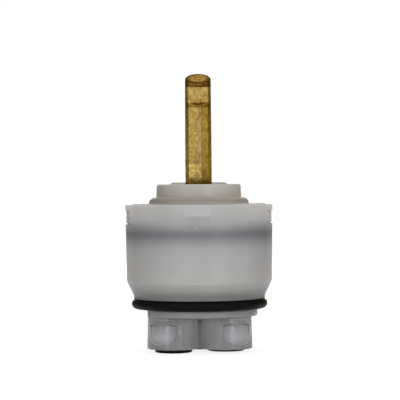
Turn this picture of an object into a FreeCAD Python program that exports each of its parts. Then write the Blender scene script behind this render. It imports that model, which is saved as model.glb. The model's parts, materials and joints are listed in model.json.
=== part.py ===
import FreeCAD, Part

import math
import os

# Single-lever mixing cartridge of the ceramic-disc kind, 40 mm class. Lengths in mm, angles in degrees.
# Z is the axis that the lever turns about, the user stands on the -Y side, cold is on the left (-X),
# and z = 0 is the lowest seal face. The lever is at its front stop, which shuts the water off.

VEC = FreeCAD.Vector
RIGHT = VEC(1, 0, 0)
UP = VEC(0, 0, 1)
ORIGIN = VEC(0, 0, 0)

# Housing cup
RIM_D = 40.0
LIP_H = 1.7
BODY_DRAFT = 0.3
CUP_WALL = 1.6
CUP_H = 25.5
CUP_FLOOR = 1.6
TAPER_H = 3.85
TAPER_IN = 1.9
WAIST_H = 0.8
TAPER_WALL = 1.7
RIM_EDGE_R = 0.2
TAPER_TOP_R = 2.5
WAIST_EDGE_R = 1.4
WINDOW_W = 14.8
WINDOW_H = 3.6
RIB_W = 3.0
RIB_REACH = 2.5
RIB_AZIMUTHS = (0.0, 90.0, 180.0)
RIB_BELOW_DISC = 0.3

# Port base
SPIGOT_IN = 2.05
SPIGOT_LEN = 4.8
FLANGE_EDGE_R = 0.5
FLAT_AT = 14.0
LOBE_R = 7.13
LOBE_DRAFT = 0.23
LOBE_LEN = 8.6
LOBE_CIRCLE_R = 8.18
LOBE_AZIMUTHS = {"cold": 210.0, "hot": 330.0, "outlet": 90.0}
LOBE_EDGE_R = 0.3
LOBE_CORE_R = 7.0
SEAT_PLATE_T = 2.2
PORT_BORE_R = 3.3
PORT_ROOF_BELOW_SEAT = 3.2
TOP_PORT_DEPTH = 7.0
SEAL_RECESS_R = 5.1
SEAL_RECESS_DEPTH = 2.0
POCKET_W = 9.8
POCKET_BOTTOM = 1.4
POCKET_TOP_BELOW_FLANGE = 1.5
POCKET_LOW_DEPTH = 0.35
POCKET_TOP_DEPTH = 0.9
POCKET_CORNER_R = 3.2
POCKET_DRAFT = 20.0
POCKET_AZIMUTHS = {"cold": 240.0, "hot": 300.0, "outlet": 90.0}

# Seals
PORT_SEAL_STAND = {"cold": 1.0, "hot": 0.6, "outlet": 1.0}
SEAL_BORE_PAST_PORT = 0.4
PORT_SEAL_EDGE_R = 0.45
DISC_SEAL_W = 1.5
DISC_SEAL_DEPTH = 1.6
DISC_SEAL_STAND = 0.4
BODY_RING_SECTION = 2.65
NECK_RING_SECTION = 1.15
CHAMBER_SEAL_W = 1.6
CHAMBER_SEAL_H = 1.3
CHAMBER_SEAL_INSET = 0.9

# Ceramic discs
FIXED_DISC_CLEAR = 1.3
MOVING_DISC_CLEAR = 0.3
DISC_T = 3.5
DISC_BEVEL = 0.3
INLET_R = 7.7
INLET_HALF_W = 1.3
INLET_AZIMUTHS = {"cold": 225.0, "hot": 315.0}
INLET_HALF_ANGLE = 13.0
OUTLET_HALF_W = 3.8
OUTLET_Y = (2.0, 5.6)
CHAMBER_HALF_W = 5.6
DRIVE_LUG_W = 4.0
DRIVE_LUG_DEPTH = 1.5
DRIVE_LUG_H = 2.0
SCREEN_T = 0.8
SCREEN_HOLE_R = 0.6
SCREEN_PITCH = 2.0

# Coupler
COUPLER_SHORT_OF_DISC = 0.2
COUPLER_PLATE_T = 2.6
BOSS_W = 12.6
BOSS_L = 13.0
BOSS_H = 5.0
BOSS_CORNER_R = 1.5
SOCKET_FLOOR = 0.6
SOCKET_MOUTH_BEVEL = 0.5

# Turret
HUB_D = 15.5
FLANGE_T = 2.4
FLANGE_OVER_BOSS = 0.4
SKIRT_OVER_PLATE = 0.2
SKIRT_WALL = 2.0
CHEEK_STAND = 0.5
CHEEK_EDGE_R = 0.7
STOP_HALF_ANGLE = 8.0
STOP_REACH = 1.5
STOP_H = 3.0
TURN_EACH_WAY = 50.0
TURN_SLACK = 0.5

# Cover
DECK_PROUD = 0.15
SKIRT_LEN = 5.65
COVER_SKIRT_WALL = 1.7
SHOULDER_W = 2.05
SHOULDER_H = 1.9
SHOULDER_EDGE_R = 1.7
NECK_TOP_D = 22.8
NECK_LOW_D = 23.1
NECK_H = 3.5
NECK_EDGE_R = 0.5
BORE_EDGE_R = 0.3
LUG_SHORT_OF_RIM = 0.27
LUG_BEVEL = 0.4
KEY_W = 6.5
KEY_H = 3.0
KEY_REACH = 0.95
NECK_GROOVE_BELOW_TOP = 2.0

# Lever
LEVER_SIDES = 12
LEVER_AF = 7.0
LEVER_TIP_AF = 6.7
LEVER_LEN = 36.35
LEVER_STRAIGHT = 11.6
LEVER_ROOT = 3.4
LEVER_REST_TILT = 25.0
PIVOT_BELOW_NECK = 5.0
BALL_ARM = 9.0
BALL_R = 3.0
BALL_FLAT_AT = 2.2
LEVER_NECK_R = 2.0
TIP_BEVEL = 0.3
TIP_DISH_R = 2.5
TIP_DISH_DEPTH = 0.15
NOTCH_FROM_TIP = 0.85
NOTCH_LEN = 5.0
NOTCH_DEPTH = 1.1
NOTCH_SLOPE = 0.6
PIN_R = 1.5
PIN_SHORT_OF_HUB = 0.45
PIN_BEVEL = 0.25
GLIDE_T = 0.6

# Clearances
FIT = 0.1
RUNNING = 0.05
LEVER_SIDE_FIT = 0.1
SOCKET_FIT = 0.08
RING_TOUCH = 0.03

# Heights, from the lowest seal face up
LOBE_Z = max(PORT_SEAL_STAND.values())
FLANGE_Z = LOBE_Z + LOBE_LEN
CUP_Z = FLANGE_Z + SPIGOT_LEN
CUP_FLOOR_Z = CUP_Z + CUP_FLOOR
TAPER_Z = CUP_Z + WAIST_H
BARREL_Z = TAPER_Z + TAPER_H
RIM_Z = CUP_Z + CUP_H
SEAT_Z = CUP_FLOOR_Z + SEAT_PLATE_T
FIXED_Z = SEAT_Z + DISC_SEAL_STAND
MOVING_Z = FIXED_Z + DISC_T
PLATE_Z = MOVING_Z + DISC_T
BOSS_Z = PLATE_Z + COUPLER_PLATE_T
BOSS_TOP_Z = BOSS_Z + BOSS_H
SKIRT_Z = BOSS_Z + SKIRT_OVER_PLATE
CHANNEL_TOP_Z = BOSS_TOP_Z + FLANGE_OVER_BOSS
FLANGE_TOP_Z = CHANNEL_TOP_Z + FLANGE_T
DECK_UNDER_Z = FLANGE_TOP_Z + RUNNING + GLIDE_T
COVER_END_Z = DECK_UNDER_Z - SKIRT_LEN
DECK_Z = RIM_Z + DECK_PROUD
SHOULDER_Z = RIM_Z + SHOULDER_H
NECK_Z = SHOULDER_Z + NECK_H
PIVOT_Z = NECK_Z - PIVOT_BELOW_NECK
CHEEK_Z = NECK_Z + CHEEK_STAND
WINDOW_TOP_Z = RIM_Z - LIP_H
WINDOW_Z = WINDOW_TOP_Z - WINDOW_H

# Radii and travels that follow
RIM_R = RIM_D / 2
BODY_LOW_R = RIM_R - BODY_DRAFT
WAIST_R = BODY_LOW_R - TAPER_IN
SPIGOT_R = WAIST_R - SPIGOT_IN
CUP_BORE_R = BODY_LOW_R - CUP_WALL
FLOOR_R = WAIST_R + (CUP_FLOOR_Z - TAPER_Z) * TAPER_IN / TAPER_H - TAPER_WALL
HUB_R = HUB_D / 2
NECK_BORE_R = HUB_R + FIT
SHOULDER_R = NECK_LOW_D / 2 + SHOULDER_W
COVER_R = CUP_BORE_R - FIT
COVER_SKIRT_R = COVER_R - COVER_SKIRT_WALL
FLANGE_R = COVER_SKIRT_R - FIT
LUG_R = RIM_R - LUG_SHORT_OF_RIM
SLIDE_TRAVEL = BALL_ARM * math.sin(math.radians(LEVER_REST_TILT))
FIXED_DISC_R = CUP_BORE_R - FIXED_DISC_CLEAR
MOVING_DISC_R = CUP_BORE_R - SLIDE_TRAVEL - MOVING_DISC_CLEAR
COUPLER_R = MOVING_DISC_R - COUPLER_SHORT_OF_DISC
SLOT_HALF = LEVER_AF / 2 + LEVER_SIDE_FIT


def on_plan(x, y):
    return VEC(x, y, 0)


def on_section(r, z):
    return VEC(r, 0, z)


def on_side(y, z):
    return VEC(0, y, z)


def outline(corners, place):
    """Closed face from (u, v, radius) corners, with a tangent arc where the radius isn't zero."""
    spots = [place(u, v) for u, v, _ in corners]
    starts, ends, edges = [], [], []
    for i, (_, _, radius) in enumerate(corners):
        corner = spots[i]
        if radius <= 0:
            starts.append(corner)
            ends.append(corner)
            edges.append(None)
            continue
        back = (spots[i - 1] - corner).normalize()
        ahead = (spots[(i + 1) % len(spots)] - corner).normalize()
        half = back.getAngle(ahead) / 2
        inward = (back + ahead).normalize()
        starts.append(corner + back * (radius / math.tan(half)))
        ends.append(corner + ahead * (radius / math.tan(half)))
        middle = corner + inward * (radius / math.sin(half) - radius)
        edges.append(Part.Arc(starts[i], middle, ends[i]).toShape())
    loop = []
    for i, edge in enumerate(edges):
        if edge:
            loop.append(edge)
        following = starts[(i + 1) % len(starts)]
        if ends[i].distanceToPoint(following) > 1e-6:
            loop.append(Part.makeLine(ends[i], following))
    return Part.Face(Part.Wire(loop))


def turned(corners):
    """Body of revolution about Z from (r, z, radius) corners."""
    return outline(corners, on_section).revolve(ORIGIN, UP, 360)


def upright(face, z0, z1):
    return face.translated(VEC(0, 0, z0)).extrude(VEC(0, 0, z1 - z0))


def across(face, half_width):
    """Prism along X, centred, from a face in the YZ plane."""
    return face.translated(VEC(-half_width, 0, 0)).extrude(VEC(2 * half_width, 0, 0))


def cylinder(radius, z0, z1, x=0.0, y=0.0):
    return Part.makeCylinder(radius, z1 - z0, VEC(x, y, z0))


def tube(inner, outer, z0, z1, x=0.0, y=0.0):
    return cylinder(outer, z0, z1, x, y).cut(cylinder(inner, z0, z1, x, y))


def block(x0, x1, y0, y1, z0, z1):
    return Part.makeBox(x1 - x0, y1 - y0, z1 - z0, VEC(x0, y0, z0))


def polar(radius, azimuth):
    angle = math.radians(azimuth)
    return radius * math.cos(angle), radius * math.sin(angle)


def turn(shape, azimuth):
    return shape.rotated(ORIGIN, UP, azimuth)


def kidney(radius, azimuth, half_angle, half_width):
    """Curved slot on a circle about Z, with round ends."""
    a0, a1 = azimuth - half_angle, azimuth + half_angle
    outer = [on_plan(*polar(radius + half_width, a)) for a in (a0, azimuth, a1)]
    inner = [on_plan(*polar(radius - half_width, a)) for a in (a1, azimuth, a0)]
    arcs = (
        outer,
        (outer[-1], round_end(radius, a1, half_width, 90), inner[0]),
        inner,
        (inner[-1], round_end(radius, a0, half_width, -90), outer[0]),
    )
    return Part.Face(Part.Wire([Part.Arc(*arc).toShape() for arc in arcs]))


def round_end(radius, azimuth, half_width, side):
    x, y = polar(radius, azimuth)
    dx, dy = polar(half_width, azimuth + side)
    return on_plan(x + dx, y + dy)


def obround(y0, y1, half_width):
    """Slot along Y with round ends, whose end centres are y0 and y1."""
    low_left, low_right = on_plan(-half_width, y0), on_plan(half_width, y0)
    top_left, top_right = on_plan(-half_width, y1), on_plan(half_width, y1)
    edges = [
        Part.Arc(low_left, on_plan(0, y0 - half_width), low_right).toShape(),
        Part.makeLine(low_right, top_right),
        Part.Arc(top_right, on_plan(0, y1 + half_width), top_left).toShape(),
        Part.makeLine(top_left, low_left),
    ]
    return Part.Face(Part.Wire(edges))


def top_port(name, grow=0.0):
    """Outline of a port where it meets the fixed disc, grown all round."""
    if name == "outlet":
        return obround(*OUTLET_Y, OUTLET_HALF_W + grow)
    return kidney(INLET_R, INLET_AZIMUTHS[name], INLET_HALF_ANGLE, INLET_HALF_W + grow)


def chamber(grow=0.0):
    """Outline of the mixing chamber about the moving disc's own centre."""
    return obround(-SLIDE_TRAVEL, 0.0, CHAMBER_HALF_W + grow)


def ribs(clear, z0, z1):
    """The cup's inner ribs, or with a clearance the notches that take them."""
    half = RIB_W / 2 + clear
    rib = block(CUP_BORE_R - RIB_REACH - clear, CUP_BORE_R + FIT, -half, half, z0, z1)
    return [turn(rib, azimuth) for azimuth in RIB_AZIMUTHS]


def bored_wall_r(z):
    """Inner radius of the cup at a height within its taper."""
    share = (z - CUP_FLOOR_Z) / (BARREL_Z - CUP_FLOOR_Z)
    return FLOOR_R + (CUP_BORE_R - FLOOR_R) * share


def housing_cup():
    opening = SPIGOT_R + FIT
    cup = turned([
        (opening, CUP_Z, 0),
        (WAIST_R, CUP_Z, 0),
        (WAIST_R, TAPER_Z, WAIST_EDGE_R),
        (BODY_LOW_R, BARREL_Z, TAPER_TOP_R),
        (RIM_R, WINDOW_TOP_Z, 0),
        (RIM_R, RIM_Z, RIM_EDGE_R),
        (CUP_BORE_R, RIM_Z, 0),
        (CUP_BORE_R, BARREL_Z, 0),
        (FLOOR_R, CUP_FLOOR_Z, 0),
        (opening, CUP_FLOOR_Z, 0),
    ])
    within = turned([
        (0, CUP_FLOOR_Z, 0),
        (WAIST_R, CUP_FLOOR_Z, 0),
        (BODY_LOW_R - FIT, BARREL_Z, 0),
        (BODY_LOW_R - FIT, RIM_Z, 0),
        (0, RIM_Z, 0),
    ])
    inner_ribs = ribs(0.0, CUP_FLOOR_Z, MOVING_Z - RIB_BELOW_DISC)
    cup = cup.multiFuse([rib.common(within) for rib in inner_ribs])
    windows = block(-RIM_D, RIM_D, -WINDOW_W / 2, WINDOW_W / 2, WINDOW_Z, WINDOW_TOP_Z)
    return cup.cut([windows, key(FIT)])


def key(grow):
    """The cover's key towards the front, or with a clearance the cup's keyway."""
    half = KEY_W / 2 + grow
    reach = COVER_R + KEY_REACH + grow
    bar = block(-half, half, -reach, 0, RIM_Z - KEY_H - grow, RIM_Z)
    return bar.common(cylinder(reach, 0, RIM_Z)).cut(cylinder(COVER_R - FIT, 0, RIM_Z))


def top_cover():
    cover = turned([
        (NECK_BORE_R, DECK_UNDER_Z, 0),
        (COVER_SKIRT_R, DECK_UNDER_Z, 0),
        (COVER_SKIRT_R, COVER_END_Z, 0),
        (COVER_R, COVER_END_Z, 0),
        (COVER_R, DECK_Z, 0),
        (SHOULDER_R, DECK_Z, 0),
        (SHOULDER_R, SHOULDER_Z, SHOULDER_EDGE_R),
        (NECK_LOW_D / 2, SHOULDER_Z, 0),
        (NECK_TOP_D / 2, NECK_Z, NECK_EDGE_R),
        (NECK_BORE_R, NECK_Z, BORE_EDGE_R),
    ])
    half_w, low, high = WINDOW_W / 2 - RUNNING, WINDOW_Z + RUNNING, WINDOW_TOP_Z - RUNNING
    lugs = block(-RIM_D, RIM_D, -half_w, half_w, low, high).common(turned([
        (COVER_R - FIT, low, 0),
        (LUG_R - LUG_BEVEL, low, 0),
        (LUG_R, low + LUG_BEVEL, 0),
        (LUG_R, high, 0),
        (COVER_R - FIT, high, 0),
    ]))
    cover = cover.multiFuse([lugs, key(0.0)])
    return cover.cut([neck_groove(), stop_gap()])


def neck_groove():
    root = HUB_R + RING_TOUCH + NECK_RING_SECTION + RING_TOUCH
    top = NECK_Z - NECK_GROOVE_BELOW_TOP
    return cylinder(root, top - NECK_RING_SECTION - FIT, top)


def sector(inner, outer, azimuth, half_angle, z0, z1):
    """Arc-shaped block between two radii."""
    sweep = Part.makeCylinder(outer, z1 - z0, VEC(0, 0, z0), UP, 2 * half_angle)
    return turn(sweep.cut(cylinder(inner, z0, z1)), azimuth - half_angle)


def stop_gap():
    """Gap in the cover's skirt in which the turret's stop lug travels."""
    half_angle = TURN_EACH_WAY + STOP_HALF_ANGLE + TURN_SLACK
    return sector(HUB_R, RIM_R, 90, half_angle, COVER_END_Z, COVER_END_Z + STOP_H + FIT)


def port_base():
    seat_low_r = bored_wall_r(CUP_FLOOR_Z) - FIT
    seat_top_r = bored_wall_r(SEAT_Z) - FIT
    base = turned([
        (0, FLANGE_Z, 0),
        (SPIGOT_R, FLANGE_Z, FLANGE_EDGE_R),
        (SPIGOT_R, CUP_FLOOR_Z, 0),
        (seat_low_r, CUP_FLOOR_Z, 0),
        (seat_top_r, SEAT_Z, 0),
        (0, SEAT_Z, 0),
    ])
    lobes = [lobe(name) for name in LOBE_AZIMUTHS]
    base = base.multiFuse(lobes + [cylinder(LOBE_CORE_R, LOBE_Z, CUP_FLOOR_Z)]).removeSplitter()
    cuts = ribs(FIT, CUP_FLOOR_Z, SEAT_Z)
    for name, azimuth in LOBE_AZIMUTHS.items():
        x, y = polar(LOBE_CIRCLE_R, azimuth)
        cuts.append(cylinder(PORT_BORE_R, LOBE_Z, SEAT_Z - PORT_ROOF_BELOW_SEAT, x, y))
        cuts.append(cylinder(SEAL_RECESS_R, LOBE_Z, LOBE_Z + SEAL_RECESS_DEPTH, x, y))
        cuts.append(upright(top_port(name), SEAT_Z - TOP_PORT_DEPTH, SEAT_Z))
        cuts.append(upright(top_port(name, DISC_SEAL_W), SEAT_Z - DISC_SEAL_DEPTH, SEAT_Z))
        cuts.append(lobe_pocket(name))
    ring_seat_z = CUP_Z - FIT - BODY_RING_SECTION
    cuts.append(block(-RIM_D, -FLAT_AT, -RIM_D, RIM_D, FLANGE_Z, ring_seat_z))
    return base.cut(cuts)


def lobe(name):
    x, y = polar(LOBE_CIRCLE_R, LOBE_AZIMUTHS[name])
    shape = turned([
        (0, LOBE_Z, 0),
        (LOBE_R, LOBE_Z, LOBE_EDGE_R),
        (LOBE_R - LOBE_DRAFT, FLANGE_Z + FIT, 0),
        (0, FLANGE_Z + FIT, 0),
    ])
    return shape.translated(VEC(x, y, 0))


def pocket_arch(x):
    """Outline of a lobe's pocket at a distance from the lobe's axis, wider further out for the mould's draft."""
    grow = (x - LOBE_R) * math.tan(math.radians(POCKET_DRAFT))
    half = POCKET_W / 2 + grow
    low, high = LOBE_Z + POCKET_BOTTOM - grow, FLANGE_Z - POCKET_TOP_BELOW_FLANGE + grow
    arch = outline([
        (-half, high, 0),
        (half, high, 0),
        (half, low, POCKET_CORNER_R + grow),
        (-half, low, POCKET_CORNER_R + grow),
    ], on_side)
    return arch.OuterWire.translated(VEC(x, 0, 0))


def lobe_pocket(name):
    """Round-bottomed scoop in a lobe's outer wall, deeper towards its top, facing its own azimuth."""
    x, y = polar(LOBE_CIRCLE_R, LOBE_AZIMUTHS[name])
    arch = Part.makeLoft([pocket_arch(LOBE_R / 2), pocket_arch(LOBE_R + 1)], True, True)
    behind = turned([
        (0, LOBE_Z, 0),
        (LOBE_R - POCKET_LOW_DEPTH, LOBE_Z, 0),
        (LOBE_R - POCKET_TOP_DEPTH, FLANGE_Z, 0),
        (0, FLANGE_Z, 0),
    ])
    return turn(arch.cut(behind), POCKET_AZIMUTHS[name]).translated(VEC(x, y, 0))


def ring_seal(centre_r, section, z):
    return Part.makeTorus(centre_r, section / 2, VEC(0, 0, z))


def port_seal(name):
    """Rubber ring in a lobe's recess, pressed home against its roof."""
    x, y = polar(LOBE_CIRCLE_R, LOBE_AZIMUTHS[name])
    low, high = LOBE_Z - PORT_SEAL_STAND[name], LOBE_Z + SEAL_RECESS_DEPTH
    bore_r = PORT_BORE_R + SEAL_BORE_PAST_PORT
    seal = turned([
        (bore_r, low, 0),
        (SEAL_RECESS_R - RUNNING, low, PORT_SEAL_EDGE_R),
        (SEAL_RECESS_R - RUNNING, high, 0),
        (bore_r, high, 0),
    ])
    return seal.translated(VEC(x, y, 0))


def disc_seal(name):
    outer = upright(top_port(name, DISC_SEAL_W - RUNNING), SEAT_Z - DISC_SEAL_DEPTH, FIXED_Z)
    return outer.cut(upright(top_port(name, RUNNING), SEAT_Z - DISC_SEAL_DEPTH, FIXED_Z))


def ceramic(radius, z):
    return turned([
        (0, z, 0),
        (radius - DISC_BEVEL, z, 0),
        (radius, z + DISC_BEVEL, 0),
        (radius, z + DISC_T - DISC_BEVEL, 0),
        (radius - DISC_BEVEL, z + DISC_T, 0),
        (0, z + DISC_T, 0),
    ])


def fixed_disc():
    cuts = [upright(top_port(name), FIXED_Z, MOVING_Z) for name in LOBE_AZIMUTHS]
    return ceramic(FIXED_DISC_R, FIXED_Z).cut(cuts + ribs(FIT, FIXED_Z, MOVING_Z))


def slid(shape):
    """Moves what rides on the coupler from the axis to where the lever's ball holds it at rest."""
    return shape.translated(VEC(0, SLIDE_TRAVEL, 0))


def drive_lugs(clear, z0, z1):
    half = DRIVE_LUG_W / 2 + clear
    lug = block(COUPLER_R - DRIVE_LUG_DEPTH - clear, MOVING_DISC_R + clear, -half, half, z0, z1)
    return [lug, turn(lug, 180)]


def moving_disc():
    disc = ceramic(MOVING_DISC_R, MOVING_Z)
    cuts = drive_lugs(FIT, PLATE_Z - DRIVE_LUG_H - FIT, PLATE_Z)
    return slid(disc.cut(cuts + [upright(chamber(), MOVING_Z, PLATE_Z)]))


def chamber_groove(z0, z1, clear=0.0):
    inner = chamber(CHAMBER_SEAL_INSET + clear)
    outer = chamber(CHAMBER_SEAL_INSET + CHAMBER_SEAL_W - clear)
    return upright(outer, z0, z1).cut(upright(inner, z0, z1))


def chamber_seal():
    return slid(chamber_groove(PLATE_Z, PLATE_Z + CHAMBER_SEAL_H, RUNNING))


def chamber_screen():
    plate = upright(chamber(-RUNNING), PLATE_Z - SCREEN_T, PLATE_Z)
    edge = CHAMBER_HALF_W - RUNNING - 2 * SCREEN_HOLE_R
    inside = upright(chamber(edge - CHAMBER_HALF_W), PLATE_Z - SCREEN_T, PLATE_Z)
    columns = int(CHAMBER_HALF_W / SCREEN_PITCH)
    rows = int((CHAMBER_HALF_W + SLIDE_TRAVEL / 2) / SCREEN_PITCH)
    holes = []
    for i in range(-columns, columns + 1):
        for j in range(-rows, rows + 1):
            x, y = i * SCREEN_PITCH, j * SCREEN_PITCH - SLIDE_TRAVEL / 2
            if inside.isInside(VEC(x, y, PLATE_Z - SCREEN_T / 2), 1e-6, True):
                holes.append(cylinder(SCREEN_HOLE_R, PLATE_Z - SCREEN_T, PLATE_Z, x, y))
    return slid(plate.cut(holes))


def coupler():
    plate = cylinder(COUPLER_R, PLATE_Z, BOSS_Z)
    half_w, half_l = BOSS_W / 2, BOSS_L / 2
    boss = upright(outline([
        (-half_w, -half_l, BOSS_CORNER_R),
        (half_w, -half_l, BOSS_CORNER_R),
        (half_w, half_l, BOSS_CORNER_R),
        (-half_w, half_l, BOSS_CORNER_R),
    ], on_plan), PLATE_Z, BOSS_TOP_Z)
    lugs = drive_lugs(0.0, PLATE_Z - DRIVE_LUG_H, BOSS_Z)
    body = plate.multiFuse([boss] + [lug.common(cylinder(COUPLER_R, 0, RIM_Z)) for lug in lugs])
    socket_r = BALL_R + SOCKET_FIT
    socket = turned([
        (0, BOSS_Z + SOCKET_FLOOR, 0),
        (socket_r, BOSS_Z + SOCKET_FLOOR, 0),
        (socket_r, BOSS_TOP_Z - SOCKET_MOUTH_BEVEL, 0),
        (socket_r + SOCKET_MOUTH_BEVEL, BOSS_TOP_Z, 0),
        (0, BOSS_TOP_Z, 0),
    ])
    return slid(body.cut([socket, chamber_groove(PLATE_Z, PLATE_Z + CHAMBER_SEAL_H)]))


def lever_slot():
    """Opening for the lever, open to the front above the pivot. Its other end faces are the lever's stops."""
    lean = math.radians(LEVER_REST_TILT)
    kink = SLOT_HALF * (1 - math.cos(lean)) / math.sin(lean)
    leaning_face = (SLOT_HALF + (PIVOT_Z - SKIRT_Z) * math.sin(lean)) / math.cos(lean)
    face = outline([
        (-HUB_D, CHEEK_Z, 0),
        (-HUB_D, PIVOT_Z - kink, 0),
        (-SLOT_HALF, PIVOT_Z - kink, 0),
        (-SLOT_HALF, SKIRT_Z, 0),
        (leaning_face, SKIRT_Z, 0),
        (SLOT_HALF, PIVOT_Z + kink, 0),
        (SLOT_HALF, CHEEK_Z, 0),
    ], on_side)
    return across(face, SLOT_HALF)


def turret():
    body = turned([
        (0, SKIRT_Z, 0),
        (FLANGE_R, SKIRT_Z, 0),
        (FLANGE_R, FLANGE_TOP_Z, 0),
        (HUB_R, FLANGE_TOP_Z, 0),
        (HUB_R, CHEEK_Z, CHEEK_EDGE_R),
        (0, CHEEK_Z, 0),
    ])
    stop_r = FLANGE_R + STOP_REACH
    body = body.fuse(sector(FLANGE_R - FIT, stop_r, 90, STOP_HALF_ANGLE, COVER_END_Z, COVER_END_Z + STOP_H))
    channel = BOSS_W / 2 + FIT
    cuts = [lever_slot(), pin_hole(PIN_R)]
    cuts.append(block(-channel, channel, -RIM_D, RIM_D, SKIRT_Z, CHANNEL_TOP_Z))
    wall = channel + SKIRT_WALL
    core = cylinder(FLANGE_R - SKIRT_WALL, SKIRT_Z, CHANNEL_TOP_Z)
    cuts.append(core.common(block(wall, RIM_D, -RIM_D, RIM_D, SKIRT_Z, CHANNEL_TOP_Z)))
    cuts.append(core.common(block(-RIM_D, -wall, -RIM_D, RIM_D, SKIRT_Z, CHANNEL_TOP_Z)))
    return body.cut(cuts)


def pin_hole(radius):
    return Part.makeCylinder(radius, RIM_D, VEC(-RIM_D / 2, 0, PIVOT_Z), RIGHT)


def lever_pin():
    half = HUB_R - PIN_SHORT_OF_HUB
    pin = turned([
        (0, -half, 0),
        (PIN_R - PIN_BEVEL, -half, 0),
        (PIN_R, PIN_BEVEL - half, 0),
        (PIN_R, half - PIN_BEVEL, 0),
        (PIN_R - PIN_BEVEL, half, 0),
        (0, half, 0),
    ])
    return pin.rotated(ORIGIN, VEC(0, 1, 0), 90).translated(VEC(0, 0, PIVOT_Z))


def faceted(across_flats, z):
    """Wire of the lever's section, with one face towards the front."""
    step = 360 / LEVER_SIDES
    corner_r = across_flats / 2 / math.cos(math.radians(step / 2))
    corners = [on_plan(*polar(corner_r, step * (i + 0.5))) for i in range(LEVER_SIDES)]
    return Part.makePolygon(corners + corners[:1]).translated(VEC(0, 0, z))


def lever():
    """Lever built upright about its pivot, then tilted to rest."""
    straight = Part.Face(faceted(LEVER_AF, -LEVER_ROOT)).extrude(VEC(0, 0, LEVER_ROOT + LEVER_STRAIGHT))
    stem = Part.makeLoft([faceted(LEVER_AF, LEVER_STRAIGHT), faceted(LEVER_TIP_AF, LEVER_LEN)], True, True)
    neck = cylinder(LEVER_NECK_R, -BALL_ARM, -LEVER_ROOT)
    ball = Part.makeSphere(BALL_R, VEC(0, 0, -BALL_ARM))
    body = straight.multiFuse([stem, neck, ball]).removeSplitter()
    tip_r = LEVER_TIP_AF / 2
    bevel = tube(tip_r, tip_r * 2, LEVER_LEN - TIP_BEVEL, LEVER_LEN).fuse(turned([
        (tip_r - TIP_BEVEL, LEVER_LEN, 0),
        (tip_r, LEVER_LEN - TIP_BEVEL, 0),
        (tip_r * 2, LEVER_LEN - TIP_BEVEL, 0),
        (tip_r * 2, LEVER_LEN, 0),
    ]))
    dish = cylinder(TIP_DISH_R, LEVER_LEN - TIP_DISH_DEPTH, LEVER_LEN)
    under_ball = block(-BALL_R, BALL_R, -BALL_R, BALL_R, -BALL_ARM - BALL_R, -BALL_ARM - BALL_FLAT_AT)
    hole = pin_hole(PIN_R + RUNNING).translated(VEC(0, 0, -PIVOT_Z))
    body = body.cut([bevel, dish, under_ball, hole, set_screw_notch()])
    return body.rotated(ORIGIN, RIGHT, LEVER_REST_TILT).translated(VEC(0, 0, PIVOT_Z))


def set_screw_notch():
    """Flat near the tip for the handle's set screw, with sloping ends."""
    top = LEVER_LEN - NOTCH_FROM_TIP
    floor_y = NOTCH_DEPTH - LEVER_TIP_AF / 2
    face = outline([
        (floor_y, top - NOTCH_SLOPE, 0),
        (floor_y, top - NOTCH_LEN, 0),
        (-LEVER_TIP_AF / 2, top - NOTCH_LEN - NOTCH_SLOPE, 0),
        (-LEVER_TIP_AF, top - NOTCH_LEN - NOTCH_SLOPE, 0),
        (-LEVER_TIP_AF, top, 0),
        (-LEVER_TIP_AF / 2, top, 0),
    ], on_side)
    return across(face, LEVER_AF)


def glide_ring():
    return tube(NECK_BORE_R + FIT, FLANGE_R - FIT, DECK_UNDER_Z - GLIDE_T, DECK_UNDER_Z)


def body_o_ring():
    centre_r = SPIGOT_R + RING_TOUCH + BODY_RING_SECTION / 2
    return ring_seal(centre_r, BODY_RING_SECTION, CUP_Z - FIT - BODY_RING_SECTION / 2)


def neck_o_ring():
    centre_r = HUB_R + RING_TOUCH + NECK_RING_SECTION / 2
    z = NECK_Z - NECK_GROOVE_BELOW_TOP - (NECK_RING_SECTION + FIT) / 2
    return ring_seal(centre_r, NECK_RING_SECTION, z)


def pieces():
    made = {
        "housing_cup": housing_cup(),
        "top_cover": top_cover(),
        "port_base": port_base(),
        "body_o_ring": body_o_ring(),
        "neck_o_ring": neck_o_ring(),
        "glide_ring": glide_ring(),
        "fixed_disc": fixed_disc(),
        "moving_disc": moving_disc(),
        "chamber_seal": chamber_seal(),
        "chamber_screen": chamber_screen(),
        "coupler": coupler(),
        "turret": turret(),
        "lever_pin": lever_pin(),
        "lever": lever(),
    }
    for name in LOBE_AZIMUTHS:
        made[f"{name}_port_seal"] = port_seal(name)
        made[f"{name}_disc_seal"] = disc_seal(name)
    return made


os.makedirs("parts", exist_ok=True)
for node, shape in pieces().items():
    shape.exportStep(f"parts/{node}.step")
    print(f"{node}: {len(shape.Solids)} solid, {shape.Volume:.1f} mm3, valid {shape.isValid()}")
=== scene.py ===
"""Looks of the mixing cartridge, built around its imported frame. Lengths in metres, angles in degrees."""

import json
import math

import bmesh
import bpy
from mathutils import Matrix, Vector, noise

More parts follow.
